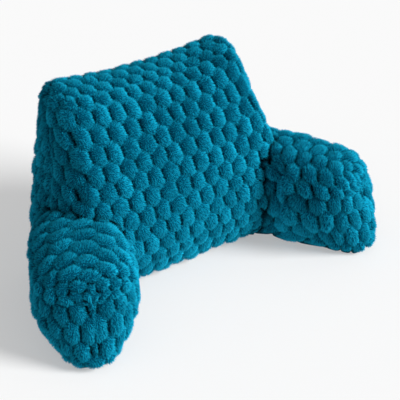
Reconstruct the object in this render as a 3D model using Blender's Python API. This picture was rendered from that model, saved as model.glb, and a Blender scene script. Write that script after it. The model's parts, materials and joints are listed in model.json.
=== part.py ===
"""Cuddle cushion: a filled, leaning backrest with a filled arm sewn on each side.

The whole cover is a plush cloth whose pile stands in rows of soft tufts, each row shifted by half a
tuft against the next. Metres, +Z up, +Y to the back, origin on the floor in the middle of the box.
"""

from collections import namedtuple
from math import cos, radians, sin

import bmesh
import bpy
import numpy as np

# Driving sizes, in metres
HEIGHT = 0.410          # top corners of the backrest above the floor
TOP_SAG = 0.018         # the middle of the top edge below its corners
SAG_TO_RIGHT = 0.38     # how much deeper the top edge sags towards the right, as a share
SEWN_GAP = 0.0004       # between two filled pieces where they are sewn together
CUT_BELOW = 0.01        # how far the seat cut into an arm's root runs past the floor
TOE = 0.048             # how far the foot of an arm's end stands past its top
TOE_HEADING = 28.6      # degrees, the way that the foot stands out, away from straight forwards
LEFT_ARM_HEIGHT = 0.93  # the left arm's filling has settled, so it is lower than the right one

# The backrest's filled form at six heights, from the floor up. Each front and back is the
# furthest point of the crowned face there, before the whole is centred.
BackSection = namedtuple("BackSection", "height_share half_width front back")
BACKREST = (
    BackSection(0.00, 0.265, 0.031, 0.219),
    BackSection(0.20, 0.269, -0.013, 0.224),
    BackSection(0.45, 0.257, -0.002, 0.226),
    BackSection(0.70, 0.236, 0.042, 0.225),
    BackSection(0.88, 0.224, 0.091, 0.222),
    BackSection(1.00, 0.219, 0.120, 0.219),
)

# The right arm's upright sections, from inside the backrest to the tip. The heading is the
# turn of the section, in degrees, away from facing straight forwards.
ArmSection = namedtuple("ArmSection", "along_share x y heading half_width height")
ARM = (
    ArmSection(0.000, 0.150, 0.112, 62.0, 0.075, 0.205),
    ArmSection(0.345, 0.235, 0.048, 66.0, 0.102, 0.217),
    ArmSection(0.509, 0.260, 0.001, 38.0, 0.098, 0.212),
    ArmSection(0.673, 0.285, -0.041, 22.0, 0.098, 0.205),
    ArmSection(1.000, 0.326, -0.128, 23.0, 0.087, 0.194),
)
ARM_FOOT_SHARE = 0.57   # width of the narrow foot over the widest width
ARM_WIDEST = 0.475      # share of the height at which the arm is widest

# Rounding of each form, as shares of its half width, half depth and half height
Rounding = namedtuple("Rounding", "root end side top foot")
BACKREST_ROUND = Rounding(root=0.13, end=0.13, side=0.85, top=0.22, foot=0.10)
ARM_ROUND = Rounding(root=0.02, end=0.41, side=0.85, top=0.63, foot=0.24)
EDGE_THIN = 0.115       # how much thinner the backrest is at its side seams

# Half tufts along each form: across or along, front to back, and up
BACKREST_STEPS = (28, 8, 26)
ARM_STEPS = (16, 10, 12)

# Relief of the tufts on the filled form: the crown of a tuft, the line between two rows, the
# groove between two tufts of a row, and the side seams
CROWN = 0.0035
ROW_LINE = -0.0025
GROOVE = -0.0055
SEAM = -0.007
LIFT = 0.0008           # the lowest point of the cover above the floor, past the flat underside

TEAL_BACK = (0.0027, 0.122, 0.209, 1.0)
TEAL_ARM = (0.0030, 0.133, 0.223, 1.0)
PLUSH_ROUGHNESS = 0.95


def clear_scene():
    """Remove every object of the scene."""
    for thing in list(bpy.data.objects):
        bpy.data.objects.remove(thing, do_unlink=True)


def plush(name, colour):
    """Dull cloth of the given colour."""
    material = bpy.data.materials.new(name)
    material.use_nodes = True
    shader = material.node_tree.nodes["Principled BSDF"]
    shader.inputs["Base Color"].default_value = colour
    shader.inputs["Roughness"].default_value = PLUSH_ROUGHNESS
    shader.inputs["Metallic"].default_value = 0.0
    return material


def smooth_column(rows, place, column, at):
    """Read one column of a section table at any place, on a smooth curve through its rows."""
    places = np.array([getattr(row, place) for row in rows])
    values = np.array([getattr(row, column) for row in rows])
    slopes = np.gradient(values, places)
    row = np.clip(np.searchsorted(places, at, side="right") - 1, 0, len(rows) - 2)
    span = places[row + 1] - places[row]
    s = np.clip((at - places[row]) / span, 0.0, 1.0)
    start = values[row] * (2 * s**3 - 3 * s**2 + 1) + slopes[row] * span * (s**3 - 2 * s**2 + s)
    end = values[row + 1] * (3 * s**2 - 2 * s**3) + slopes[row + 1] * span * (s**3 - s**2)
    return start + end


def rounded_box(box, rounding):
    """Round the edges of points on a box from -1 to 1. x runs root to end, y across, z up."""
    radius = np.empty_like(box)
    radius[:, 0] = np.where(box[:, 0] > 0, rounding.end, rounding.root)
    radius[:, 1] = rounding.side
    radius[:, 2] = np.where(box[:, 2] > 0, rounding.top, rounding.foot)
    core = np.clip(box, radius - 1, 1 - radius)
    away = (box - core) / radius
    length = np.linalg.norm(away, axis=1, keepdims=True)
    return core + radius * away / np.maximum(length, 1e-9)


def backrest_form(box):
    """Points of the filled backrest, without tufts, for points of a box from -1 to 1."""
    soft = rounded_box(box, BACKREST_ROUND)
    across, through = soft[:, 0], soft[:, 1]
    up = (soft[:, 2] + 1) / 2
    half_width = smooth_column(BACKREST, "height_share", "half_width", up)
    front = smooth_column(BACKREST, "height_share", "front", up)
    back = smooth_column(BACKREST, "height_share", "back", up)
    half_depth = (back - front) / 2 * (1 - EDGE_THIN * np.abs(across)**3)
    sag = TOP_SAG * (1 - across**2) * (1 + SAG_TO_RIGHT * across)
    height = up * (HEIGHT - sag * up**3)
    return np.stack([across * half_width, (front + back) / 2 + through * half_depth, height], axis=1)


def arm_form(box, side):
    """Points of a filled arm, without tufts. side is 1 for the right arm and -1 for the left."""
    soft = rounded_box(box, ARM_ROUND)
    along = (soft[:, 0] + 1) / 2
    across = soft[:, 1]
    up = (soft[:, 2] + 1) / 2
    rise = np.clip(up / ARM_WIDEST, 0, 1)
    profile = ARM_FOOT_SHARE + (1 - ARM_FOOT_SHARE) * rise**2 * (3 - 2 * rise)
    half_width = smooth_column(ARM, "along_share", "half_width", along) * profile
    heading = np.radians(smooth_column(ARM, "along_share", "heading", along))
    past_root = np.clip((along - ARM[1].along_share) / (1 - ARM[1].along_share), 0, 1)
    toe = TOE * (1 - up) * past_root
    x = smooth_column(ARM, "along_share", "x", along) + np.cos(heading) * across * half_width
    y = smooth_column(ARM, "along_share", "y", along) + np.sin(heading) * across * half_width
    x += sin(radians(TOE_HEADING)) * toe
    y -= cos(radians(TOE_HEADING)) * toe
    height = up * smooth_column(ARM, "along_share", "height", along)
    if side < 0:
        height *= LEFT_ARM_HEIGHT
    return np.stack([side * x, y, height], axis=1)


def tuft_relief(along, over):
    """Height of the cover at a half tuft along its row and a half tuft over the rows."""
    if over % 2 == 0:
        return ROW_LINE
    row = (over - 1) // 2
    return CROWN if (along + row) % 2 else GROOVE


def backrest_relief(i, j, k, steps):
    """Tufts run up the front and the back and over the top, with a seam down each side's middle."""
    wide, deep, high = steps
    if i in (0, wide) and 0 < j < deep:
        return SEAM if j == deep // 2 else tuft_relief(j, k)
    if j == 0:
        return tuft_relief(i, k)
    if j == deep:
        return tuft_relief(i, 2 * high + deep - k)
    return tuft_relief(i, high + j)


def arm_relief(i, j, k, steps):
    """Tufts run from the inner side over the top to the outer side, and round the end."""
    long, deep, high = steps
    if j == 0:
        return tuft_relief(i, k)
    if j == deep:
        return tuft_relief(i, 2 * high + deep - k)
    if i == long:
        return tuft_relief(long + j, k)
    return tuft_relief(i, high + j)


def box_grid(steps):
    """Every grid step on the surface of a box, and the four-cornered faces between them."""
    wide, deep, high = steps
    spots = [(i, j, k) for i in range(wide + 1) for j in range(deep + 1) for k in range(high + 1)
             if i in (0, wide) or j in (0, deep) or k == high]
    number = {spot: n for n, spot in enumerate(spots)}
    faces = []
    for i in range(wide):
        for k in range(high):
            for j in (0, deep):
                faces.append([(i, j, k), (i + 1, j, k), (i + 1, j, k + 1), (i, j, k + 1)])
        for j in range(deep):
            faces.append([(i, j, high), (i + 1, j, high), (i + 1, j + 1, high), (i, j + 1, high)])
    for j in range(deep):
        for k in range(high):
            for i in (0, wide):
                faces.append([(i, j, k), (i, j + 1, k), (i, j + 1, k + 1), (i, j, k + 1)])
    return spots, [[number[spot] for spot in face] for face in faces]


def tuft_triangles(face, heights):
    """Halve a four-cornered face through its highest corner, so that each tuft is a full one."""
    a, b, c, d = face
    if max(heights[a], heights[c]) >= max(heights[b], heights[d]):
        return [(a, b, c), (a, c, d)]
    return [(b, c, d), (b, d, a)]


def filled_piece(name, steps, form, relief, material, grow=0.0, deeper=0.0):
    """One closed filled piece: its form, raised into tufts, on a flat plain underside."""
    spots, faces = box_grid(steps)
    heights = [relief(*spot, steps) for spot in spots]
    box = 2 * np.array(spots) / np.array(steps) - 1
    cloth = bmesh.new()
    corners = [cloth.verts.new(point) for point in form(box)]
    for face in faces:
        for triangle in tuft_triangles(face, heights):
            cloth.faces.new([corners[n] for n in triangle])
    rim = [edge for edge in cloth.edges if edge.is_boundary]
    underside = bmesh.ops.contextual_create(cloth, geom=rim)["faces"]
    bmesh.ops.recalc_face_normals(cloth, faces=cloth.faces)
    cloth.normal_update()
    outward = [corner.normal.copy() for corner in corners]
    for corner, spot, height, normal in zip(corners, spots, heights, outward):
        if spot[2] == 0:
            corner.co.x += normal.x * grow
            corner.co.y += normal.y * grow
            corner.co.z = 0
        else:
            corner.co += normal * (height + grow)
            corner.co.z = max(corner.co.z, LIFT)
    if deeper:
        lowered = bmesh.ops.extrude_face_region(cloth, geom=underside)["geom"]
        corners_below = [part for part in lowered if isinstance(part, bmesh.types.BMVert)]
        bmesh.ops.translate(cloth, verts=corners_below, vec=(0, 0, -deeper))
        bmesh.ops.delete(cloth, geom=underside, context="FACES_ONLY")
    mesh = bpy.data.meshes.new(name)
    cloth.to_mesh(mesh)
    cloth.free()
    mesh.shade_smooth()
    mesh.materials.append(material)
    piece = bpy.data.objects.new(name, mesh)
    bpy.context.collection.objects.link(piece)
    return piece


def backrest(name, material, **space):
    """The filled backrest, or the space that it needs, grown all round and deeper below."""
    return filled_piece(name, BACKREST_STEPS, backrest_form, backrest_relief, material, **space)


def arm(name, side, material, backrest_space):
    """A filled arm whose root lies against the side and the front corner of the backrest."""
    piece = filled_piece(name, ARM_STEPS, lambda box: arm_form(box, side), arm_relief, material)
    cut = piece.modifiers.new("seat_on_backrest", "BOOLEAN")
    cut.operation = "DIFFERENCE"
    cut.solver = "EXACT"
    cut.object = backrest_space
    return piece


def centre_depth(pieces):
    """Move the pieces so that the origin is in the middle of the whole, front to back."""
    depths = [vertex.co.y for piece in pieces for vertex in piece.data.vertices]
    for piece in pieces:
        piece.location.y = -(min(depths) + max(depths)) / 2


def build():
    """Make the backrest and the two arms sewn to it."""
    clear_scene()
    back_cloth = plush("teal_plush_backrest", TEAL_BACK)
    arm_cloth = plush("teal_plush_arm", TEAL_ARM)
    back = backrest("backrest", back_cloth)
    space = backrest("backrest_space", back_cloth, grow=SEWN_GAP, deeper=CUT_BELOW)
    space.hide_render = True
    space.display_type = "WIRE"
    right = arm("arm_right", 1, arm_cloth, space)
    left = arm("arm_left", -1, arm_cloth, space)
    centre_depth([back, space, right, left])


build()
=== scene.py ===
"""Looks of the cuddle cushion: three filled covers of tufted plush with their pile.

Metres, +Z up, +Y to the back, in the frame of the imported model.
"""

import json
from collections import namedtuple
from itertools import product
from math import cos, pi, radians, sin

import bpy
import numpy as np
from bpy.props import FloatProperty, FloatVectorProperty, IntProperty, PointerProperty
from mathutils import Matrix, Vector
from mathutils.bvhtree import BVHTree

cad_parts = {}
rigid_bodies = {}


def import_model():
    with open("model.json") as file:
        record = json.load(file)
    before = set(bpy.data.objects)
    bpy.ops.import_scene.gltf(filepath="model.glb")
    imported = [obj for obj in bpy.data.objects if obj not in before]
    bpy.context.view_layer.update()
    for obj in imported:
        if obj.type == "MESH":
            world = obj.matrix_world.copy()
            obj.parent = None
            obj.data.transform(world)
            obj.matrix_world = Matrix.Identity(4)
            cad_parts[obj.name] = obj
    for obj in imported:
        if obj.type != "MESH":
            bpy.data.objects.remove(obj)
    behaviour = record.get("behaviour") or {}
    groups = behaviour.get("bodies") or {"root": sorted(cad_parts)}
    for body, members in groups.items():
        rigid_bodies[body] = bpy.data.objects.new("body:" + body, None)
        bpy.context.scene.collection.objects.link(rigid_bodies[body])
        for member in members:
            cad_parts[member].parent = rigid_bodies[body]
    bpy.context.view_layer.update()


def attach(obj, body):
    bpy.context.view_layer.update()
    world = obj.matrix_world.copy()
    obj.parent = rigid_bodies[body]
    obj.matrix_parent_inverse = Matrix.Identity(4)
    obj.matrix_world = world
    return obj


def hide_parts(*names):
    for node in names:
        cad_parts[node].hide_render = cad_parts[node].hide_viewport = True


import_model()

bl_info = {
    "name": "Cuddle cushion",
    "version": (1, 0, 0),
    "blender": (4, 5, 0),
    "location": "View3D > Sidebar > Cushion",
    "description": "Makes a tufted plush reading cushion on its packed solids",
    "category": "Object",
}

# Most numbers of the next three tables, and of the values beside them, come from a fit of the
# form's outline to the photo's. They are rounded, and are the same as in the part's source. The
# backrest's height and the sag of its top, in the sizes below, come from the same fit.

# The backrest's filled form at six heights, from the floor up
BackSection = namedtuple("BackSection", "height_share half_width front back")
BACKREST = (
    BackSection(0.00, 0.265, 0.031, 0.219),
    BackSection(0.20, 0.269, -0.013, 0.224),
    BackSection(0.45, 0.257, -0.002, 0.226),
    BackSection(0.70, 0.236, 0.042, 0.225),
    BackSection(0.88, 0.224, 0.091, 0.222),
    BackSection(1.00, 0.219, 0.120, 0.219),
)

# The right arm's upright sections, from inside the backrest to the tip. The heading is the
# turn of the section, in degrees, away from facing straight forwards.
ArmSection = namedtuple("ArmSection", "along_share x y heading half_width height")
ARM = (
    ArmSection(0.000, 0.150, 0.112, 62.0, 0.075, 0.205),
    ArmSection(0.345, 0.235, 0.048, 66.0, 0.102, 0.217),
    ArmSection(0.509, 0.260, 0.001, 38.0, 0.098, 0.212),
    ArmSection(0.673, 0.285, -0.041, 22.0, 0.098, 0.205),
    ArmSection(1.000, 0.326, -0.128, 23.0, 0.087, 0.194),
)
ARM_FOOT_SHARE = 0.57
ARM_WIDEST = 0.475
TOE = 0.048
TOE_HEADING = 28.6
LEFT_ARM_HEIGHT = 0.93
MOVED_FORWARD = 0.029   # puts the origin in the middle of the whole, front to back

# Rounding of each form, as shares of its half width, half depth and half height
Rounding = namedtuple("Rounding", "root end side top foot")
BACKREST_ROUND = Rounding(root=0.13, end=0.13, side=0.85, top=0.22, foot=0.10)
ARM_ROUND = Rounding(root=0.02, end=0.41, side=0.85, top=0.63, foot=0.24)
EDGE_THIN = 0.115

# Half tufts along the three ways of each form: the backrest's width, depth and height, and an
# arm's length, width and height
BACKREST_TUFTS = np.array((28, 8, 26))
ARM_TUFTS = np.array((16, 10, 12))
FINE = 6                # steps of the finished cloth in half a tuft
COARSE = 2              # steps of the simulated cloth in half a tuft

# The tuft pattern, in tufts: the shift of each row against the one below, how far a tuft's
# middle strays, a row's height over a tuft's width, half of a groove's floor, and the width of a
# tuft's rounded side
ROW_SHIFT = 0.5
STRAY = 0.22
ROW_ASPECT = 0.80
GROOVE_FLOOR = 0.035
SHOULDER = 0.36
LEVEL_FROM, LEVEL_TO = 0.62, 0.95   # from not to fully level, for the way to the next tuft
GROOVE_WIDTH = 0.09     # half width of a groove's dark, bare floor, in tufts
ROW_LINE_BARE = 0.35    # how bare the line between two rows is, over a groove within a row
ROW_LINE_HEIGHT = 0.45  # height of the line between two rows over the crown of a tuft
LEAST_SWELL, SWELL_RANGE = 0.85, 0.3    # height of the flattest tuft, and what the fullest has more
OVERHANG = 0.50         # how steeply a tuft leans down, and to a side of its own
CROWN = 0.0035          # crown of a tuft over the filled form
SEAM_WIDTH = 0.006      # half width of the hollow along a side seam
WAVE_HEIGHT = 0.0015    # of the soft uneven waves over a cover
WAVE_LENGTH = 0.13
WAVES = 6               # how many waves, each its own way, are added up
EDGE_FULL = 0.003       # how much fuller the backrest's edges are in their middle
SIDE_SEAM_SHARE = 0.5   # where the front and the back panel meet on the backrest's side
ARM_TUFT = 0.037        # tuft to tuft along a row of an arm
ARM_ROW = 0.037         # row to row on an arm
ARM_LENGTH = 0.335      # about that of an arm, halfway from its middle to its outer side
LENGTH_STEPS = 64       # steps in which lengths along an arm are measured
END_REACH = 0.09        # how far before its end an arm's rows begin to follow its narrow foot
END_ARCH = 0.055        # height of the round arch over the rows of an arm's end
ARCH_LEAN = 0.028       # how far the grooves over an arm's top lie behind their feet
END_SHARE = 0.88        # width of an arm's tuft on its side over that on its end
UNEVEN = 0.12           # how far the rows of an arm wander, in tufts
UNEVEN_LENGTH = 0.10    # length over which they wander
LUMP_SHORTEST, LUMP_RANGE = 0.7, 0.8    # the shortest wave's length, and what the longest has more
MOST_STEP = 0.8         # places that differ by more over a face, in tufts, are on broken rows
SALT_STEP = 20          # between the numbers from which each cover draws its chances
FIRST_ROW = 40.5        # keeps row numbers above zero, with a row's middle along an arm's top
ARM_HELD = 0.35         # share of an arm's length that stays with the backrest as it is filled
ARM_STAND = (0.29, -0.095)  # upright line inside the right arm, seen from which it is laid on
ARM_LAID_TO = 0.36      # how far from the middle an arm may touch the backrest
FLOOR_FADE = 0.014      # height above the floor where the tufts have their full relief
FLOOR_TUCK = 0.008      # how far the cover is drawn in where it meets the floor
FOOT_SHADE = 0.018      # height above the floor up to which the pile is painted darker, as shade at its foot
FLOOR_ROOM = 0.012      # height above the floor from which the pile may hang freely
FLOOR_RISE = 0.5        # how far up the pile turns at the floor
FLOOR_EASE = 1.4        # how quickly it turns level and down above the floor
PILE_FROM = 0.003       # height above the floor where the pile begins
BACK_DENSITY = 0.7      # share of the usual density on the back, which is seldom seen
GROOVE_BARE = 0.9       # share of the pile that is missing on a groove's floor
LOCK_STRAY = 0.22       # how far a lock strays from the way of its neighbours
LOCK_SIZES = (0.65, 1.2)    # smallest and largest lock over the usual one
ROOT_SUNK = 0.2         # share of a lock's length below the cloth
LEAST_PILE = 1000       # faces; with fewer, no pile has grown
LIFT = 0.0008           # of the lowest points of the sides above the floor
SEWN_WIDTH = 0.010      # width of the crease, painted dark as shade, where an arm is sewn to the backrest
SEWN_GAP = 0.0012       # between an arm's cover and the backrest's

# The way that the pile lies: out of the cloth, away from a tuft's middle along the row, turned
# with the tuft, away from its middle over the rows, and down
PileLay = namedtuple("PileLay", "out beside turned above down")
LAY = PileLay(out=0.55, beside=0.9, turned=0.25, above=0.8, down=0.30)

# Regions of the backrest's cover, each with a piece of pile of its own. An arm is all front.
FRONT, BACK, EDGES = 0, 1, 2

# Filling of the covers, as the cloth simulation reads it
PRESSURE = 4.0
FRAMES = 20
CLOTH_QUALITY = 5
MOST_MOVE = 0.025       # cap on how far the filling moves a point
EVEN_SHARE = 0.4        # share of the even swelling that is taken back, as the form has it
FILLING_SHARE = 0.10    # share of the swelling left that the finished cover keeps


def linear(hex_colour, alpha=1.0):
    """Turn an sRGB hex colour into linear red, green, blue and alpha."""
    parts = [int(hex_colour[n:n + 2], 16) / 255 for n in (1, 3, 5)]
    return [c / 12.92 if c <= 0.04045 else ((c + 0.055) / 1.055)**2.4 for c in parts] + [alpha]


def smooth_step(low, high, value):
    """Rise from 0 at low to 1 at high without a corner."""
    share = np.clip((value - low) / (high - low), 0, 1)
    return share * share * (3 - 2 * share)


class CushionSizes(bpy.types.PropertyGroup):
    """Sizes of the cushion that a user would change."""

    height: FloatProperty(
        name="Height", description="Top corners of the backrest above the floor",
        default=0.410, min=0.30, max=0.50, unit="LENGTH")
    top_sag: FloatProperty(
        name="Top sag", description="Middle of the top edge below its corners",
        default=0.018, min=0, max=0.05, unit="LENGTH")
    sag_to_right: FloatProperty(
        name="Sag to the right", description="How much deeper the top edge sags on the right",
        default=0.38, min=-1, max=1)
    tuft_width: FloatProperty(
        name="Tuft width", description="Tuft to tuft along a row of the backrest",
        default=0.036, min=0.02, max=0.06, unit="LENGTH")
    tuft_depth: FloatProperty(
        name="Tuft depth", description="Crown of a tuft above the groove beside it",
        default=0.0115, min=0, max=0.02, unit="LENGTH")
    arm_tuft_depth: FloatProperty(
        name="Arm tuft depth", description="Crown of a tuft of an arm above the groove beside it",
        default=0.0135, min=0, max=0.02, unit="LENGTH")
    cloth_sunk: FloatProperty(
        name="Cloth below pile", description="Crown of the cloth below the tips of the pile",
        default=0.003, min=0, max=0.01, unit="LENGTH")
    seam_depth: FloatProperty(
        name="Seam depth", description="How far the backrest's side seams are drawn in",
        default=0.006, min=0, max=0.02, unit="LENGTH")
    pile_length: FloatProperty(
        name="Pile length", description="Length of a lock of pile",
        default=0.0058, min=0.001, max=0.02, unit="LENGTH")
    pile_width: FloatProperty(
        name="Pile width", description="Width of a lock of pile at its root",
        default=0.0020, min=0.0005, max=0.004, unit="LENGTH")
    pile_density: FloatProperty(
        name="Pile density", description="Locks of pile on each square metre",
        default=275000, min=0, max=400000)
    seed: IntProperty(name="Seed", description="Start of everything uneven", default=7, min=0)


class CushionColours(bpy.types.PropertyGroup):
    """Colours of the plush and of the stage."""

    plush: FloatVectorProperty(
        name="Plush", description="Sides of the pile",
        default=linear("#004962"), subtype="COLOR", size=4, min=0, max=1)
    # Painted highlight on the tips of the pile, and the light end of its random tone
    plush_tip_tone_and_highlight: FloatVectorProperty(
        name="Plush tips", description="Tips of the pile, which catch the light",
        default=linear("#18bce2"), subtype="COLOR", size=4, min=0, max=1)
    # Painted shade: the dark roots of the pile in the grooves, in the crease by the backrest and at
    # the foot
    plush_groove_painted_shade: FloatVectorProperty(
        name="Plush grooves", description="Roots of the pile between the tufts",
        default=linear("#010c13"), subtype="COLOR", size=4, min=0, max=1)
    floor: FloatVectorProperty(
        name="Floor", description="Plain pale floor",
        default=linear("#cccccc"), subtype="COLOR", size=4, min=0, max=1)


def smooth_column(rows, place, column, at):
    """Read one column of a section table at any place, on a smooth curve through its rows."""
    places = np.array([getattr(row, place) for row in rows])
    values = np.array([getattr(row, column) for row in rows])
    slopes = np.gradient(values, places)
    row = np.clip(np.searchsorted(places, at, side="right") - 1, 0, len(rows) - 2)
    span = places[row + 1] - places[row]
    s = np.clip((at - places[row]) / span, 0.0, 1.0)
    start = values[row] * (2 * s**3 - 3 * s**2 + 1) + slopes[row] * span * (s**3 - 2 * s**2 + s)
    end = values[row + 1] * (3 * s**2 - 2 * s**3) + slopes[row + 1] * span * (s**3 - s**2)
    return start + end


def rounded_box(box, rounding):
    """Round the edges of points on a box from -1 to 1. x runs root to end, y across, z up."""
    radius = np.empty_like(box)
    radius[:, 0] = np.where(box[:, 0] > 0, rounding.end, rounding.root)
    radius[:, 1] = rounding.side
    radius[:, 2] = np.where(box[:, 2] > 0, rounding.top, rounding.foot)
    core = np.clip(box, radius - 1, 1 - radius)
    away = (box - core) / radius
    length = np.linalg.norm(away, axis=1, keepdims=True)
    return core + radius * away / np.maximum(length, 1e-9)


def backrest_form(box):
    """Points of the filled backrest, without tufts, for points of a box from -1 to 1."""
    sizes = bpy.context.scene.cushion_sizes
    soft = rounded_box(box, BACKREST_ROUND)
    across, through = soft[:, 0], soft[:, 1]
    up = (soft[:, 2] + 1) / 2
    half_width = smooth_column(BACKREST, "height_share", "half_width", up)
    front = smooth_column(BACKREST, "height_share", "front", up)
    back = smooth_column(BACKREST, "height_share", "back", up)
    half_depth = (back - front) / 2 * (1 - EDGE_THIN * np.abs(across)**3)
    sag = sizes.top_sag * (1 - across**2) * (1 + sizes.sag_to_right * across)
    height = up * (sizes.height - sag * up**3)
    depth = (front + back) / 2 + through * half_depth - MOVED_FORWARD
    return np.stack([across * half_width, depth, height], axis=1)


def arm_form(box, side):
    """Points of a filled arm, without tufts. side is 1 for the right arm and -1 for the left."""
    soft = rounded_box(box, ARM_ROUND)
    along = (soft[:, 0] + 1) / 2
    across = soft[:, 1]
    up = (soft[:, 2] + 1) / 2
    rise = np.clip(up / ARM_WIDEST, 0, 1)
    profile = ARM_FOOT_SHARE + (1 - ARM_FOOT_SHARE) * rise**2 * (3 - 2 * rise)
    half_width = smooth_column(ARM, "along_share", "half_width", along) * profile
    heading = np.radians(smooth_column(ARM, "along_share", "heading", along))
    past_root = np.clip((along - ARM[1].along_share) / (1 - ARM[1].along_share), 0, 1)
    toe = TOE * (1 - up) * past_root
    x = smooth_column(ARM, "along_share", "x", along) + np.cos(heading) * across * half_width
    y = smooth_column(ARM, "along_share", "y", along) + np.sin(heading) * across * half_width
    x += sin(radians(TOE_HEADING)) * toe
    y -= cos(radians(TOE_HEADING)) * toe + MOVED_FORWARD
    height = up * smooth_column(ARM, "along_share", "height", along)
    if side < 0:
        height *= LEFT_ARM_HEIGHT
    return np.stack([side * x, y, height], axis=1)


def box_grid(steps):
    """Spots on the walls and top of a box, the faces between them, and the rim of its underside."""
    wide, deep, high = steps
    on_box = np.zeros((wide + 1, deep + 1, high + 1), bool)
    on_box[[0, -1]] = True
    on_box[:, [0, -1]] = True
    on_box[:, :, -1] = True
    spots = np.argwhere(on_box)
    number = np.zeros(on_box.shape, int)
    number[on_box] = np.arange(len(spots))
    sheets = (number[:, 0], number[::-1, -1], number[-1], number[0, ::-1], number[:, :, -1])
    faces = [np.stack([sheet[:-1, :-1], sheet[1:, :-1], sheet[1:, 1:], sheet[:-1, 1:]], axis=-1)
             for sheet in sheets]
    rim = np.concatenate([number[0, :-1, 0], number[:-1, -1, 0],
                          number[-1, :0:-1, 0], number[:0:-1, 0, 0]])
    return spots, np.concatenate([face.reshape(-1, 4) for face in faces]), rim


def mesh_object(name, points, faces, rim, mirrored):
    """A closed smooth mesh of four-cornered faces on one flat underside."""
    corners = faces.tolist() + [rim.tolist()]
    if mirrored:
        corners = [corner[::-1] for corner in corners]
    mesh = bpy.data.meshes.new(name)
    mesh.from_pydata(points.tolist(), [], corners)
    mesh.shade_smooth()
    piece = bpy.data.objects.new(name, mesh)
    bpy.context.scene.collection.objects.link(piece)
    return piece


def read_points(mesh):
    """Every vertex of a mesh as an array."""
    flat = np.empty(len(mesh.vertices) * 3, np.float32)
    mesh.vertices.foreach_get("co", flat)
    return flat.reshape(-1, 3).astype(float)


def outward(mesh, spots):
    """Unit normals of a mesh, kept level round the rim on the floor."""
    flat = np.empty(len(mesh.vertices) * 3, np.float32)
    mesh.vertex_normals.foreach_get("vector", flat)
    normals = flat.reshape(-1, 3).astype(float)
    normals[spots[:, 2] == 0, 2] = 0
    return normals / np.linalg.norm(normals, axis=1, keepdims=True)


def filling_moves(form, tufts, mirrored, held_share):
    """Swell a coarse cover with its filling and return how unevenly each spot of it moved."""
    spots, faces, rim = box_grid(tufts * COARSE)
    start = form(2 * spots / (tufts * COARSE) - 1)
    cover = mesh_object("cover_before_filling", start, faces, rim, mirrored)
    held = cover.vertex_groups.new(name="sewn_down")
    sewn = (spots[:, 2] == 0) | (spots[:, 0] < held_share * tufts[0] * COARSE)
    held.add([int(n) for n in np.flatnonzero(sewn)], 1.0, "REPLACE")
    cloth = cover.modifiers.new("filling", "CLOTH")
    cloth.settings.quality = CLOTH_QUALITY
    cloth.settings.use_pressure = True
    cloth.settings.uniform_pressure_force = PRESSURE
    cloth.settings.vertex_group_mass = held.name
    cloth.settings.effector_weights.gravity = 0
    cloth.point_cache.frame_start = 1
    cloth.point_cache.frame_end = FRAMES
    for number in range(1, FRAMES + 1):
        bpy.context.scene.frame_set(number)
    filled = cover.evaluated_get(bpy.context.evaluated_depsgraph_get())
    moved = read_points(filled.data) - start
    normals = outward(cover.data, spots)
    bpy.context.scene.frame_set(1)
    bpy.data.objects.remove(cover, do_unlink=True)
    if not np.isfinite(moved).all():
        raise RuntimeError("the filling of a cover did not settle")
    length = np.linalg.norm(moved, axis=1, keepdims=True)
    moved *= np.minimum(1, MOST_MOVE / np.maximum(length, 1e-9))
    swelling = (moved * normals).sum(axis=1)
    moved -= normals * np.median(swelling[~sewn]) * EVEN_SHARE
    moved[sewn] = 0
    moves = np.zeros(tuple(tufts * COARSE + 1) + (3,))
    moves[tuple(spots.T)] = moved
    return moves


def read_between(moves, at):
    """Read values kept at whole spots of a box at any place on the box."""
    low = np.minimum(at.astype(int), np.array(moves.shape[:3]) - 2)
    part = at - low
    total = np.zeros((len(at), 3))
    for corner in product((0, 1), repeat=3):
        weight = np.where(corner, part, 1 - part).prod(axis=1)
        total += weight[:, None] * moves[tuple((low + corner).T)]
    return total


def chance(row, column, salt):
    """A steady number from 0 to 1 for each tuft. The factors only have to be uneven and large."""
    mixed = np.sin(row * 12.9898 + column * 78.233 + salt * 37.719) * 43758.5453
    return mixed - np.floor(mixed)


TuftPlace = namedtuple("TuftPlace", "height groove beside above tone turn")


def tuft_places(along, over, salt):
    """Where each point lies on its tuft, for places along and over the rows, in tufts.

    Height runs from 0 in a groove between two tufts of a row to 1 on a crown. Beside and above are
    the way from the tuft's middle, and tone and turn are the tuft's own steady numbers.
    """
    middles = []
    for row_step in (-1, 0, 1):
        row = np.floor(over) + row_step
        start = ROW_SHIFT * row
        for column_step in (-1, 0, 1):
            column = np.floor(along - start) + column_step
            beside = along - start - column - 0.5 - STRAY * (chance(row, column, salt) - 0.5)
            above = over - row - 0.5 - STRAY * (chance(row, column, salt + 1) - 0.5)
            above = above * ROW_ASPECT
            middles.append((beside, above, row, column))
    beside, above, row, column = np.moveaxis(np.array(middles), 1, 0)
    far = beside**2 + above**2
    own = far.argmin(axis=0)
    at = np.arange(len(along))
    own_beside, own_above = beside[own, at], above[own, at]
    apart_beside, apart_above = own_beside - beside, own_above - above
    apart = np.sqrt(apart_beside**2 + apart_above**2)
    # A tuft shares no line with itself, so that line is set far off
    apart[own, at] = 1
    inside = (far - far[own, at]) / (2 * apart)
    inside[own, at] = 9
    in_row = smooth_step(LEVEL_FROM, LEVEL_TO, np.abs(apart_beside) / apart)
    share = np.clip((inside - GROOVE_FLOOR * in_row) / SHOULDER, 0, 1)
    low = ROW_LINE_HEIGHT * (1 - in_row)
    height = (low + (1 - low) * np.sqrt(1 - (1 - share)**2)).min(axis=0)
    bare = ROW_LINE_BARE + (1 - ROW_LINE_BARE) * in_row
    groove = (np.exp(-(inside / GROOVE_WIDTH)**2) * bare).max(axis=0)
    row, column = row[own, at], column[own, at]
    return TuftPlace(height, groove, own_beside, own_above,
                     chance(row, column, salt + 2), chance(row, column, salt + 3))


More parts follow.
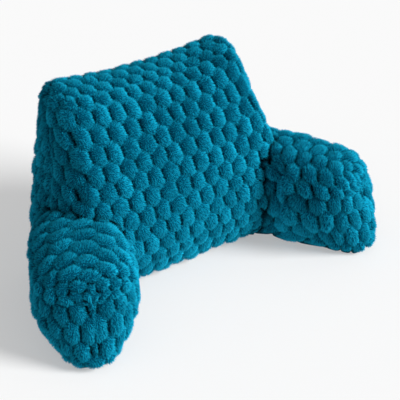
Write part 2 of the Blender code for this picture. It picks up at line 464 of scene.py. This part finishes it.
def backrest_rows(spots, points, steps):
    """Places along and over the rows for each spot of the backrest, and how near it is to a seam.

    The rows run across the front and round its edges, over the top, and down the back in the same
    way. The front and the back panel meet in a seam down the middle of each side.
    """
    sizes = bpy.context.scene.cushion_sizes
    wide, deep, high = steps
    i, j, k = spots.T
    grid = np.zeros((wide + 1, deep + 1, high + 1, 3))
    grid[i, j, k] = points
    front, back = grid[i, 0, k], grid[i, deep, k]
    over = np.where(j == 0, k, np.where(j == deep, 2 * high + deep - k, high + j))
    on_side = ((i == 0) | (i == wide)) & (k < high)
    seam = SIDE_SEAM_SHARE * deep
    on_front = j < seam
    over = np.where(on_side, np.where(on_front, k, 2 * high + deep - k), over) / (2 * FINE)
    round_front = np.abs(front[:, 0]) + points[:, 1] - front[:, 1]
    round_back = np.abs(back[:, 0]) + back[:, 1] - points[:, 1]
    reach = np.where(on_front, round_front, round_back) * np.sign(points[:, 0])
    along = np.where(on_side, reach, points[:, 0]) / sizes.tuft_width
    from_seam = np.where(on_side, np.abs(round_front - round_back) / 2, 1.0)
    return along, over, from_seam


def length_to_end(along, across):
    """Length from each place of an arm to its end, on the line at the same share of its width."""
    places = np.linspace(0, 1, LENGTH_STEPS + 1)
    shares = np.linspace(-1, 1, LENGTH_STEPS + 1)
    heading = np.radians(smooth_column(ARM, "along_share", "heading", places))
    half_width = smooth_column(ARM, "along_share", "half_width", places)
    x = smooth_column(ARM, "along_share", "x", places)[:, None]
    y = smooth_column(ARM, "along_share", "y", places)[:, None]
    x = x + np.outer(np.cos(heading) * half_width, shares)
    y = y + np.outer(np.sin(heading) * half_width, shares)
    length = np.zeros_like(x)
    length[:-1] = np.hypot(np.diff(x, axis=0), np.diff(y, axis=0))[::-1].cumsum(axis=0)[::-1]
    down, beside = along * LENGTH_STEPS, (across + 1) / 2 * LENGTH_STEPS
    row = np.minimum(down.astype(int), LENGTH_STEPS - 1)
    column = np.minimum(beside.astype(int), LENGTH_STEPS - 1)
    down, beside = down - row, beside - column
    return ((1 - down) * ((1 - beside) * length[row, column] + beside * length[row, column + 1])
            + down * ((1 - beside) * length[row + 1, column]
                      + beside * length[row + 1, column + 1]))


def arm_rows(spots, points, steps):
    """Places along and over the rows of an arm, and how near each spot is to a seam.

    The rows run along both sides of the arm, alike, and over its top. On the arm's end the grooves
    across them run in arcs, one inside the other, round an upright line in its middle.
    """
    soft = rounded_box(2 * spots / steps - 1, ARM_ROUND)
    tip = ARM[-1]
    forwards = ARM_LENGTH - length_to_end((soft[:, 0] + 1) / 2, soft[:, 1])
    height = (soft[:, 2] + 1) / 2 * tip.height
    spring = tip.height - END_ARCH
    rise = np.clip((soft[:, 2] + 1) / 2 / ARM_WIDEST, 0, 1)
    profile = ARM_FOOT_SHARE + (1 - ARM_FOOT_SHARE) * rise**2 * (3 - 2 * rise)
    near_end = smooth_step(ARM_LENGTH - END_REACH, ARM_LENGTH, forwards)
    from_middle = np.abs(soft[:, 1]) * tip.half_width * (1 - near_end * (1 - profile))
    above = np.maximum(height - spring, 0) * tip.half_width / END_ARCH
    radius = np.hypot(from_middle, above)
    along = forwards + (tip.half_width - radius) * END_SHARE + ARCH_LEAN * above / tip.half_width
    over = np.arctan2(from_middle, above) * tip.half_width + np.maximum(spring - height, 0)
    along = along / ARM_TUFT + UNEVEN * lumps(points, UNEVEN_LENGTH, salt=3)
    over = over / ARM_ROW + UNEVEN * lumps(points, UNEVEN_LENGTH, salt=4)
    return along, over + FIRST_ROW, np.ones(len(points))


def lumps(points, size, salt):
    """Soft uneven waves over a cover, about as long as size, mostly from -1 to 1."""
    total = np.zeros(len(points))
    for wave in range(WAVES):
        turn = np.array([chance(wave, axis, salt) - 0.5 for axis in range(3)])
        direction = turn / np.linalg.norm(turn)
        length = size * (LUMP_SHORTEST + LUMP_RANGE * chance(wave, 5, salt))
        total += np.sin(points @ direction * 2 * pi / length + 2 * pi * chance(wave, 7, salt))
    return total / (WAVES / 2)


def steepest(points, faces, value):
    """The way over a cover in which a value rises, for each point."""
    a, b, c, d = (points[faces[:, n]] for n in range(4))
    first, second = c - a, d - b
    face_normal = np.cross(first, second)
    rise_first = value[faces[:, 2]] - value[faces[:, 0]]
    rise_second = value[faces[:, 3]] - value[faces[:, 1]]
    way = (rise_first[:, None] * np.cross(second, face_normal)
           + rise_second[:, None] * np.cross(face_normal, first))
    way /= np.maximum((face_normal**2).sum(axis=1, keepdims=True), 1e-18)
    broken = np.maximum(np.abs(rise_first), np.abs(rise_second)) > MOST_STEP
    way[broken] = 0
    total = np.zeros_like(points)
    for n in range(4):
        np.add.at(total, faces[:, n], way)
    return total / np.maximum(np.linalg.norm(total, axis=1, keepdims=True), 1e-9)


FilledCover = namedtuple("FilledCover", "piece spots points normals rise place ways standing")


def filled_cover(name, form, tufts, mirrored, held_share, rows, tuft_depth, salt):
    """One filled cover with the places of its tufts, before it gets its relief."""
    sizes = bpy.context.scene.cushion_sizes
    steps = tufts * FINE
    spots, faces, rim = box_grid(steps)
    points = form(2 * spots / steps - 1)
    piece = mesh_object(name, points, faces, rim, mirrored)
    moves = filling_moves(form, tufts, mirrored, held_share)
    points += FILLING_SHARE * read_between(moves, spots * (COARSE / FINE))
    piece.data.vertices.foreach_set("co", points.ravel())
    piece.data.update()
    normals = outward(piece.data, spots)
    along, over, from_seam = rows(spots, points, steps)
    place = tuft_places(along, over, salt)
    ways = steepest(points, faces, along), steepest(points, faces, over)
    standing = smooth_step(0, FLOOR_FADE, points[:, 2])
    hang = ways[1][:, 2] * place.above
    roll = (place.turn - 0.5) * place.beside
    swell = LEAST_SWELL + SWELL_RANGE * place.tone
    height = place.height * swell - OVERHANG * (hang + roll)
    seam = np.exp(-(from_seam / SEAM_WIDTH)**2)
    rise = (height - 1) * tuft_depth * standing + CROWN - sizes.cloth_sunk
    rise -= FLOOR_TUCK * (1 - standing)
    waves = WAVE_HEIGHT * lumps(points, WAVE_LENGTH, salt)
    rise += waves * standing - sizes.seam_depth * seam * standing
    return FilledCover(piece, spots, points, normals, rise, place, ways, standing)


def shape_cover(filled, points, region, bare, painted_crease_shade):
    """Give a cover its final points and the attributes that its pile and its colour follow."""
    piece, place = filled.piece, filled.place
    points[:, 2] = np.where(filled.spots[:, 2] == 0, 0, np.maximum(points[:, 2], LIFT))
    piece.data.vertices.foreach_set("co", points.ravel())
    piece.data.update()
    beside, above = filled.ways
    # The pile stands up on a crown, lies outwards at its sides, and hangs down
    lay = LAY.out * filled.normals
    lay += beside * (LAY.beside * place.beside + LAY.turned * (place.turn - 0.5))[:, None]
    lay += above * (LAY.above * place.above)[:, None]
    lay[:, 2] -= LAY.down * (1 - np.abs(filled.normals[:, 2]))
    lay /= np.linalg.norm(lay, axis=1, keepdims=True)
    # Just above the floor it turns level and then up, so that no lock reaches below the floor
    room = np.clip(points[:, 2] / FLOOR_ROOM, 0, 1)
    lay[:, 2] = np.maximum(lay[:, 2], FLOOR_RISE - FLOOR_EASE * room)
    grown = (1 - GROOVE_BARE * place.groove) * (1 - bare) * (points[:, 2] > LIFT)
    # depth is a painted shade mask: the lower it is, the darker the plush is painted, in the
    # grooves, in the crease beside the backrest and near the floor
    depth = place.height * (1 - painted_crease_shade) * smooth_step(0, FOOT_SHADE, points[:, 2])
    values = {"lay": lay, "tone": place.tone, "depth": depth, "grown": grown, "region": region}
    for name, value in values.items():
        kind, slot = ("FLOAT", "value") if value.ndim == 1 else ("FLOAT_VECTOR", "vector")
        attribute = piece.data.attributes.new(name, kind, "POINT")
        attribute.data.foreach_set(slot, np.ascontiguousarray(value, np.float32).ravel())
    piece.data.materials.append(plush_material())


def press_on(points, cover, stand, reach):
    """Lay the points that are inside another cover against it, as seen from an upright line."""
    tree = BVHTree.FromObject(cover, bpy.context.evaluated_depsgraph_get())
    pressed = np.zeros(len(points), bool)
    for n in np.flatnonzero(np.abs(points[:, 0]) < reach):
        point = Vector(points[n])
        eye = Vector((stand[0], stand[1], point.z))
        way = point - eye
        hit, _normal, _face, distance = tree.ray_cast(eye, way.normalized(), way.length + SEWN_GAP)
        if hit is not None:
            points[n] = eye + way.normalized() * (distance - SEWN_GAP)
            pressed[n] = True
    return pressed


def crease_by(points, cover):
    """How deep each point lies in the crease beside another cover, from 0 to 1."""
    tree = BVHTree.FromObject(cover, bpy.context.evaluated_depsgraph_get())
    crease = np.zeros(len(points))
    for n, point in enumerate(points):
        # Past three widths nothing is left of the crease
        distance = tree.find_nearest(Vector(point), 3 * SEWN_WIDTH)[3]
        if distance is not None:
            crease[n] = np.exp(-(distance / SEWN_WIDTH)**2)
    return crease


def finish_cover(cover, node):
    """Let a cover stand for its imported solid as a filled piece."""
    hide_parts(node)
    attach(cover, "root")


class CUSHION_OT_backrest(bpy.types.Operator):
    """Make the backrest's filled and tufted cover"""

    bl_idname = "cushion.backrest"
    bl_label = "Backrest"

    def execute(self, context):
        sizes = context.scene.cushion_sizes
        filled = filled_cover("cover_backrest", backrest_form, BACKREST_TUFTS, False, 0,
                              backrest_rows, sizes.tuft_depth, sizes.seed)
        j, deep = filled.spots[:, 1], BACKREST_TUFTS[1] * FINE
        rise = filled.rise + EDGE_FULL * np.sin(pi * j / deep) * filled.standing
        points = filled.points + filled.normals * rise[:, None]
        region = np.where(j == 0, FRONT, np.where(j == deep, BACK, EDGES))
        plain = np.zeros(len(points))
        shape_cover(filled, points, region, plain, plain)
        finish_cover(filled.piece, "backrest")
        return {"FINISHED"}


class CUSHION_OT_arms(bpy.types.Operator):
    """Make the filled and tufted covers of both arms, laid against the backrest"""

    bl_idname = "cushion.arms"
    bl_label = "Arms"

    def execute(self, context):
        for name, side in (("arm_right", 1), ("arm_left", -1)):
            self.arm(context, name, side)
        return {"FINISHED"}

    def arm(self, context, name, side):
        sizes = context.scene.cushion_sizes
        filled = filled_cover("cover_" + name, lambda box: arm_form(box, side), ARM_TUFTS,
                              side < 0, ARM_HELD, arm_rows, sizes.arm_tuft_depth,
                              sizes.seed + SALT_STEP * (side + 2))
        points = filled.points + filled.normals * filled.rise[:, None]
        backrest = bpy.data.objects["cover_backrest"]
        pressed = press_on(points, backrest, (side * ARM_STAND[0], ARM_STAND[1]), ARM_LAID_TO)
        region = np.full(len(points), FRONT)
        shape_cover(filled, points, region, pressed, crease_by(points, backrest))
        finish_cover(filled.piece, name)


def add_node(tree, kind, settings=None, **inputs):
    """Add one node with its settings, and set or link its inputs by name or place."""
    node = tree.nodes.new(kind)
    for name, value in (settings or {}).items():
        setattr(node, name, value)
    for name, value in inputs.items():
        socket = node.inputs[int(name[2:]) if name.startswith("at") else name.replace("_", " ")]
        if isinstance(value, bpy.types.NodeSocket):
            tree.links.new(value, socket)
        else:
            socket.default_value = value
    return node


# The plush: the width of its patches of nap and of its streaks, and how far a streak is drawn out
NAP_WIDTH = 0.018
STREAK_WIDTH = 0.0016
STREAK_DRAWN = 0.85

# What makes the pile lighter: its tuft, the streaks and the lock's own chance as random tone, and
# the way to its tip as a painted highlight.
# Their sum with the nap turns the colour from that of the sides to that of the tips.
Lightness = namedtuple("Lightness", "tuft streak tip lock sides_at tips_at")
LIGHTNESS = Lightness(tuft=0.9, streak=0.9, tip=3.0, lock=1.3, sides_at=2.0, tips_at=5.3)
GROOVE_SHADE_FULL_TO, GROOVE_SHADE_GONE_AT = 0.10, 0.78  # heights on a tuft between which the painted shade of the grooves ends


def plush_material():
    """Polyester plush, knitted and brushed: dull sides and a soft light edge from its sheen, with
    painted shade at the roots and a painted highlight towards the tips.
    """
    ready = bpy.data.materials.get("teal_polyester_plush_brushed")
    if ready:
        return ready
    colours = bpy.context.scene.cushion_colours
    material = bpy.data.materials.new("teal_polyester_plush_brushed")
    material.use_nodes = True
    tree = material.node_tree
    shader = tree.nodes["Principled BSDF"]
    place = add_node(tree, "ShaderNodeTexCoord").outputs["Object"]
    depth = add_node(tree, "ShaderNodeAttribute", {"attribute_name": "depth"}).outputs["Fac"]
    tone = add_node(tree, "ShaderNodeAttribute", {"attribute_name": "tone"}).outputs["Fac"]
    tip = add_node(tree, "ShaderNodeAttribute", {"attribute_name": "tip"}).outputs["Fac"]
    lock = add_node(tree, "ShaderNodeAttribute", {"attribute_name": "lock"}).outputs["Fac"]
    lay = add_node(tree, "ShaderNodeAttribute", {"attribute_name": "lay"}).outputs["Vector"]
    # Nap brushed one way or the other in patches
    nap = add_node(tree, "ShaderNodeTexNoise", Vector=place, Scale=1 / NAP_WIDTH,
                   Detail=4.0).outputs["Fac"]
    # Streaks of pile, drawn out along the way that it lies
    lying = add_node(tree, "ShaderNodeVectorMath", {"operation": "DOT_PRODUCT"}, at0=place, at1=lay)
    drawn = add_node(tree, "ShaderNodeMath", {"operation": "MULTIPLY"},
                     at0=lying.outputs["Value"], at1=STREAK_DRAWN)
    along = add_node(tree, "ShaderNodeVectorMath", {"operation": "SCALE"}, at0=lay,
                     Scale=drawn.outputs["Value"])
    streaked = add_node(tree, "ShaderNodeVectorMath", {"operation": "SUBTRACT"}, at0=place,
                        at1=along.outputs["Vector"])
    streaks = add_node(tree, "ShaderNodeTexNoise", Vector=streaked.outputs["Vector"],
                       Scale=1 / STREAK_WIDTH, Detail=2.0).outputs["Fac"]
    tone_and_highlight = add_node(tree, "ShaderNodeMath", {"operation": "MULTIPLY_ADD"}, at0=tone,
                   at1=LIGHTNESS.tuft, at2=nap)
    tone_and_highlight = add_node(tree, "ShaderNodeMath", {"operation": "MULTIPLY_ADD"}, at0=streaks,
                   at1=LIGHTNESS.streak, at2=tone_and_highlight.outputs["Value"])
    # Painted highlight: each lock is painted lighter towards its tip
    tone_and_highlight = add_node(tree, "ShaderNodeMath", {"operation": "MULTIPLY_ADD"}, at0=tip,
                   at1=LIGHTNESS.tip, at2=tone_and_highlight.outputs["Value"])
    tone_and_highlight = add_node(tree, "ShaderNodeMath", {"operation": "MULTIPLY_ADD"}, at0=lock,
                   at1=LIGHTNESS.lock, at2=tone_and_highlight.outputs["Value"])
    share = add_node(tree, "ShaderNodeMapRange", Value=tone_and_highlight.outputs["Value"])
    share.inputs["From Min"].default_value = LIGHTNESS.sides_at
    share.inputs["From Max"].default_value = LIGHTNESS.tips_at
    cloth = add_node(tree, "ShaderNodeMix", {"data_type": "RGBA"}, at0=share.outputs["Result"],
                     at6=tuple(colours.plush), at7=tuple(colours.plush_tip_tone_and_highlight))
    # Painted shade: the plush turns to the groove colour where depth is low, in the grooves, the
    # crease and at the foot
    groove = add_node(tree, "ShaderNodeMapRange", Value=depth)
    groove.inputs["From Min"].default_value = GROOVE_SHADE_FULL_TO
    groove.inputs["From Max"].default_value = GROOVE_SHADE_GONE_AT
    colour = add_node(tree, "ShaderNodeMix", {"data_type": "RGBA"}, at0=groove.outputs["Result"],
                      at6=tuple(colours.plush_groove_painted_shade), at7=cloth.outputs[2])
    bump = add_node(tree, "ShaderNodeBump", Height=streaks, Strength=0.5, Distance=0.001)
    tree.links.new(colour.outputs[2], shader.inputs["Base Color"])
    tree.links.new(bump.outputs["Normal"], shader.inputs["Normal"])
    shader.inputs["Roughness"].default_value = 0.9
    shader.inputs["Specular IOR Level"].default_value = 0.08
    shader.inputs["Specular Tint"].default_value = linear("#3fb6d2")
    shader.inputs["Sheen Weight"].default_value = 0.90
    shader.inputs["Sheen Roughness"].default_value = 0.30
    shader.inputs["Sheen Tint"].default_value = linear("#22bfe4")
    return material


def pile_tree():
    """Nodes that stand slender locks of pile on a cover, where and how its attributes say."""
    tree = bpy.data.node_groups.new("plush_pile", "GeometryNodeTree")
    sockets = (
        ("Cover", "INPUT", "NodeSocketGeometry"),
        ("Pile length", "INPUT", "NodeSocketFloat"),
        ("Pile width", "INPUT", "NodeSocketFloat"),
        ("Pile density", "INPUT", "NodeSocketFloat"),
        ("Pile from", "INPUT", "NodeSocketFloat"),
        ("Seed", "INPUT", "NodeSocketInt"),
        ("Pile cloth", "INPUT", "NodeSocketMaterial"),
        ("Pile", "OUTPUT", "NodeSocketGeometry"),
    )
    for name, way, kind in sockets:
        tree.interface.new_socket(name=name, in_out=way, socket_type=kind)
    given = tree.nodes.new("NodeGroupInput").outputs
    covered = add_node(tree, "GeometryNodeInputNamedAttribute", {"data_type": "FLOAT"},
                       Name="grown")
    lay = add_node(tree, "GeometryNodeInputNamedAttribute", {"data_type": "FLOAT_VECTOR"},
                   Name="lay")
    density = add_node(tree, "ShaderNodeMath", {"operation": "MULTIPLY"},
                       at0=covered.outputs["Attribute"], at1=given["Pile density"])
    roots = add_node(tree, "GeometryNodeDistributePointsOnFaces", Mesh=given["Cover"],
                     Density=density.outputs["Value"], Seed=given["Seed"])
    radius = add_node(tree, "ShaderNodeMath", {"operation": "MULTIPLY"},
                      at0=given["Pile width"], at1=0.5)
    lock = add_node(tree, "GeometryNodeMeshCone", {"fill_type": "NONE"}, Vertices=3,
                    Radius_Bottom=radius.outputs["Value"], Depth=given["Pile length"])
    lock.inputs["Radius Top"].default_value = 0.0
    place = add_node(tree, "GeometryNodeInputPosition")
    height = add_node(tree, "ShaderNodeSeparateXYZ", Vector=place.outputs["Position"])
    # Share of the way to a lock's tip, which the plush paints lighter as a highlight
    share = add_node(tree, "ShaderNodeMath", {"operation": "DIVIDE"}, at0=height.outputs["Z"],
                     at1=given["Pile length"])
    tipped = add_node(tree, "GeometryNodeStoreNamedAttribute", Geometry=lock.outputs["Mesh"],
                      Name="tip", Value=share.outputs["Value"])
    sink = add_node(tree, "ShaderNodeMath", {"operation": "MULTIPLY"},
                    at0=given["Pile length"], at1=-ROOT_SUNK)
    below = add_node(tree, "ShaderNodeCombineXYZ", Z=sink.outputs["Value"])
    lowered = add_node(tree, "GeometryNodeTransform", Geometry=tipped.outputs["Geometry"],
                       Translation=below.outputs["Vector"])
    stray = add_node(tree, "FunctionNodeRandomValue", {"data_type": "FLOAT_VECTOR"},
                     at0=(-LOCK_STRAY,) * 3, at1=(LOCK_STRAY,) * 3, Seed=given["Seed"])
    way = add_node(tree, "ShaderNodeVectorMath", {"operation": "ADD"},
                   at0=lay.outputs["Attribute"], at1=stray.outputs["Value"])
    upright = add_node(tree, "FunctionNodeAlignRotationToVector", {"axis": "Z"},
                       Vector=way.outputs["Vector"])
    size = add_node(tree, "FunctionNodeRandomValue", {"data_type": "FLOAT"},
                    at2=LOCK_SIZES[0], at3=LOCK_SIZES[1], Seed=given["Seed"])
    chosen = add_node(tree, "FunctionNodeRandomValue", {"data_type": "FLOAT"}, at2=0.0, at3=1.0,
                      Seed=given["Seed"])
    low = add_node(tree, "FunctionNodeCompare", {"data_type": "FLOAT", "operation": "LESS_THAN"},
                   at0=height.outputs["Z"], at1=given["Pile from"])
    kept = add_node(tree, "GeometryNodeDeleteGeometry", {"domain": "POINT"},
                    Geometry=roots.outputs["Points"], Selection=low.outputs["Result"])
    marked = add_node(tree, "GeometryNodeStoreNamedAttribute", Geometry=kept.outputs["Geometry"],
                      Name="lock", Value=chosen.outputs[1])
    standing = add_node(tree, "GeometryNodeInstanceOnPoints", Points=marked.outputs["Geometry"],
                        Instance=lowered.outputs["Geometry"], Rotation=upright.outputs["Rotation"],
                        Scale=size.outputs[1])
    real = add_node(tree, "GeometryNodeRealizeInstances", Geometry=standing.outputs["Instances"])
    smooth = add_node(tree, "GeometryNodeSetShadeSmooth", Geometry=real.outputs["Geometry"])
    cloth = add_node(tree, "GeometryNodeSetMaterial", Geometry=smooth.outputs["Geometry"],
                     Material=given["Pile cloth"])
    made = tree.nodes.new("NodeGroupOutput")
    tree.links.new(cloth.outputs["Geometry"], made.inputs["Pile"])
    return tree


def pile_on(name, cover, region, density, tree):
    """Stand the pile on one region of a cover, as a plain mesh of its own."""
    sizes = bpy.context.scene.cushion_sizes
    bed = bpy.data.objects.new(name + "_bed", cover.data.copy())
    bpy.context.scene.collection.objects.link(bed)
    count = len(bed.data.vertices)
    covered, regions = np.empty(count, np.float32), np.empty(count, np.float32)
    bed.data.attributes["grown"].data.foreach_get("value", covered)
    bed.data.attributes["region"].data.foreach_get("value", regions)
    covered[regions != region] = 0
    bed.data.attributes["grown"].data.foreach_set("value", covered)
    grow = bed.modifiers.new("pile", "NODES")
    grow.node_group = tree
    values = {"Pile length": sizes.pile_length, "Pile width": sizes.pile_width,
              "Pile density": density, "Pile from": PILE_FROM,
              "Seed": sizes.seed + region, "Pile cloth": plush_material()}
    for item in tree.interface.items_tree:
        if item.in_out == "INPUT" and item.name in values:
            grow[item.identifier] = values[item.name]
    grown = bed.evaluated_get(bpy.context.evaluated_depsgraph_get())
    mesh = bpy.data.meshes.new_from_object(grown)
    bed_mesh = bed.data
    bpy.data.objects.remove(bed, do_unlink=True)
    bpy.data.meshes.remove(bed_mesh)
    mesh.name = name
    pile = bpy.data.objects.new(name, mesh)
    bpy.context.scene.collection.objects.link(pile)
    if len(mesh.polygons) < LEAST_PILE:
        raise RuntimeError("no pile stands on " + cover.name)
    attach(pile, "root")
    return pile


class CUSHION_OT_pile(bpy.types.Operator):
    """Stand the plush pile on every cover"""

    bl_idname = "cushion.pile"
    bl_label = "Pile"

    def execute(self, context):
        density = context.scene.cushion_sizes.pile_density
        tree = pile_tree()
        covers = bpy.data.objects
        backrest = covers["cover_backrest"]
        pile_on("pile_backrest_front", backrest, FRONT, density, tree)
        pile_on("pile_backrest_back", backrest, BACK, BACK_DENSITY * density, tree)
        pile_on("pile_backrest_edges", backrest, EDGES, density, tree)
        pile_on("pile_arm_right", covers["cover_arm_right"], FRONT, density, tree)
        pile_on("pile_arm_left", covers["cover_arm_left"], FRONT, density, tree)
        return {"FINISHED"}


# The photograph's view: the turn and rise of the camera in degrees, its distance from the
# target in metres, and where the target falls in a frame of 400 pixels. The numbers come from the
# same fit as the sections, and are rounded.
View = namedtuple("View", "azimuth elevation distance target pixels_per_metre target_x target_y")
PHOTO = View(-38.11, 28.84, 2.538, (0.0, -0.029, 0.17), 510.53, 192.19, 197.67)
FRAME_PIXELS = 400
SENSOR = 36.0           # width of the camera's sensor in millimetres
FLOOR_REACH = 80.0      # so that the floor's edge lies at the horizon, in low views too
FLOOR_GLOW = 0.38
SKY_STRENGTH = 0.30
KEY_STRENGTH = 4.2
KEY_WIDTH = 28          # of the softbox as seen from the cushion, in degrees

# The way to the softbox, as seen from the camera
KeyWay = namedtuple("KeyWay", "right near up")
KEY_WAY = KeyWay(right=0.85, near=0.28, up=0.50)


class CUSHION_OT_stage(bpy.types.Operator):
    """Lay the pale floor and set the soft light and the camera"""

    bl_idname = "cushion.stage"
    bl_label = "Stage"

    def execute(self, context):
        scene = context.scene
        self.floor(scene)
        self.light(scene)
        self.camera(scene)
        scene.view_settings.view_transform = "Standard"
        return {"FINISHED"}

    def floor(self, scene):
        mesh = bpy.data.meshes.new("floor")
        corners = [(x * FLOOR_REACH, y * FLOOR_REACH, 0)
                   for x, y in ((-1, -1), (1, -1), (1, 1), (-1, 1))]
        mesh.from_pydata(corners, [], [(0, 1, 2, 3)])
        floor = bpy.data.objects.new("floor", mesh)
        scene.collection.objects.link(floor)
        # Matt white acrylic lit from below: no gloss, pale all over, with light grey shadows
        acrylic = bpy.data.materials.new("white_acrylic_lit_from_below")
        acrylic.use_nodes = True
        shader = acrylic.node_tree.nodes["Principled BSDF"]
        shader.inputs["Base Color"].default_value = scene.cushion_colours.floor
        shader.inputs["Roughness"].default_value = 1.0
        shader.inputs["Specular IOR Level"].default_value = 0.0
        shader.inputs["Emission Color"].default_value = linear("#ffffff")
        shader.inputs["Emission Strength"].default_value = FLOOR_GLOW
        mesh.materials.append(acrylic)

    def light(self, scene):
        world = bpy.data.worlds.new("pale_studio")
        world.use_nodes = True
        background = world.node_tree.nodes["Background"]
        background.inputs["Color"].default_value = linear("#ffffff")
        background.inputs["Strength"].default_value = SKY_STRENGTH
        scene.world = world
        key = bpy.data.lights.new("key_softbox", "SUN")
        key.energy = KEY_STRENGTH
        key.angle = radians(KEY_WIDTH)
        lamp = bpy.data.objects.new("key_softbox", key)
        scene.collection.objects.link(lamp)
        azimuth = radians(PHOTO.azimuth)
        right = Vector((cos(azimuth), sin(azimuth), 0))
        near = Vector((sin(azimuth), -cos(azimuth), 0))
        towards = right * KEY_WAY.right + near * KEY_WAY.near + Vector((0, 0, KEY_WAY.up))
        lamp.rotation_euler = towards.to_track_quat("Z", "Y").to_euler()

    def camera(self, scene):
        azimuth, elevation = radians(PHOTO.azimuth), radians(PHOTO.elevation)
        back = Vector((sin(azimuth) * cos(elevation), -cos(azimuth) * cos(elevation),
                       sin(elevation)))
        lens = bpy.data.cameras.new("photo_view")
        lens.sensor_width = SENSOR
        lens.lens = PHOTO.pixels_per_metre * PHOTO.distance / FRAME_PIXELS * SENSOR
        lens.shift_x = (FRAME_PIXELS / 2 - PHOTO.target_x) / FRAME_PIXELS
        lens.shift_y = (PHOTO.target_y - FRAME_PIXELS / 2) / FRAME_PIXELS
        camera = bpy.data.objects.new("photo_view", lens)
        scene.collection.objects.link(camera)
        camera.location = Vector(PHOTO.target) + back * PHOTO.distance
        camera.rotation_euler = back.to_track_quat("Z", "Y").to_euler()
        scene.camera = camera


class CUSHION_PT_panel(bpy.types.Panel):
    """The cushion's sizes, colours and pieces"""

    bl_label = "Cuddle cushion"
    bl_idname = "CUSHION_PT_panel"
    bl_space_type = "VIEW_3D"
    bl_region_type = "UI"
    bl_category = "Cushion"

    def draw(self, context):
        for group in (context.scene.cushion_sizes, context.scene.cushion_colours):
            for name in group.bl_rna.properties.keys():
                if name not in ("rna_type", "name"):
                    self.layout.prop(group, name)
        for operator in OPERATORS:
            self.layout.operator(operator.bl_idname)


OPERATORS = (CUSHION_OT_backrest, CUSHION_OT_arms, CUSHION_OT_pile, CUSHION_OT_stage)
CLASSES = (CushionSizes, CushionColours) + OPERATORS + (CUSHION_PT_panel,)


def register():
    """Make the groups, operators and panel known to Blender."""
    for each in CLASSES:
        bpy.utils.register_class(each)
    bpy.types.Scene.cushion_sizes = PointerProperty(type=CushionSizes)
    bpy.types.Scene.cushion_colours = PointerProperty(type=CushionColours)


def unregister():
    """Take them out again."""
    del bpy.types.Scene.cushion_colours
    del bpy.types.Scene.cushion_sizes
    for each in reversed(CLASSES):
        bpy.utils.unregister_class(each)


def main():
    """Register the groups and operators, and make every piece and the stage."""
    register()
    bpy.ops.cushion.backrest()
    bpy.ops.cushion.arms()
    bpy.ops.cushion.pile()
    bpy.ops.cushion.stage()


if __name__ == "__main__":
    main()
